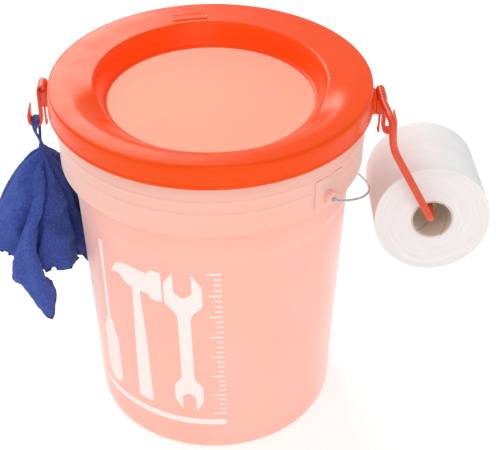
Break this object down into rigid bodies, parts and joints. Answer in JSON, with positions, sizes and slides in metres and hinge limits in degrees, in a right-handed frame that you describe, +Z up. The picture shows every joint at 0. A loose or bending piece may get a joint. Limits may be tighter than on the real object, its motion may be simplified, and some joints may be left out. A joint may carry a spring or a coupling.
{
  "type": "tool bucket organizer",
  "caption": "Bucket with a dished seat ring on its rim; side clips carry a bent arm with a paper roll and a hook with a hanging cloth.",
  "frame": {"origin": "centre of the bucket's underside, on the floor", "axes": "+Z up, +X towards the paper roll, -Y towards the front"},
  "size_m": [0.5016, 0.3171, 0.3802],
  "materials": {
    "bucket_plastic": "satin",
    "ring_plastic": "satin",
    "clip_plastic": "satin",
    "arm_coating": "satin",
    "zinc_wire": "satin",
    "grip_plastic": "matte",
    "rubber": "matte",
    "tissue": "matte",
    "core_board": "matte",
    "microfibre": "matte",
    "loop_ribbon": "matte"
  },
  "bodies": {
    "bucket": {"bucket_shell": "bucket_plastic"},
    "bail": {"bail_wire": "zinc_wire"},
    "grip": {"bail_grip": "grip_plastic"},
    "ring": {"seat_ring": "ring_plastic"},
    "left_clip": {"left_clip": "clip_plastic"},
    "right_clip": {"right_clip": "clip_plastic"},
    "arm": {"arm_rod": "arm_coating", "arm_o_ring": "rubber", "arm_push_nut": "zinc_wire", "arm_tip_cap": "rubber"},
    "roll": {"roll_core": "core_board", "paper_roll": "tissue"},
    "cloth": {"cloth": "microfibre", "cloth_loop": "loop_ribbon"}
  },
  "joints": [
    {"name": "bail_swing", "type": "hinge", "parent": "bucket", "child": "bail", "pos_m": [0, 0, 0.311], "axis": [0.7071, -0.7071, 0], "range_deg": [0, 23]},
    {"name": "grip_spin", "type": "hinge", "parent": "bail", "child": "grip", "pos_m": [0.10285, 0.10285, 0.23203], "axis": [0.7071, -0.7071, 0], "continuous": true},
    {"name": "ring_lift", "type": "slide", "parent": "bucket", "child": "ring", "axis": [0, 0, 1], "range_m": [0, 0.03]},
    {"name": "left_clip_slide", "type": "slide", "parent": "ring", "child": "left_clip", "axis": [0, 0, 1], "range_m": [0, 0.018]},
    {"name": "right_clip_slide", "type": "slide", "parent": "ring", "child": "right_clip", "axis": [0, 0, 1], "range_m": [0, 0.018]},
    {"name": "arm_swing", "type": "hinge", "parent": "right_clip", "child": "arm", "pos_m": [0.1635, -0.012, 0.364], "axis": [0, -1, 0], "range_deg": [0, 70]},
    {"name": "roll_spin", "type": "hinge", "parent": "arm", "child": "roll", "pos_m": [0.218, -0.053, 0.2419], "axis": [0.0432, 0.9905, -0.1305], "continuous": true},
    {"name": "cloth_swing", "type": "hinge", "parent": "left_clip", "child": "cloth", "pos_m": [-0.1735, 0.012, 0.328], "axis": [0, 1, 0], "range_deg": [0, 25]}
  ]
}
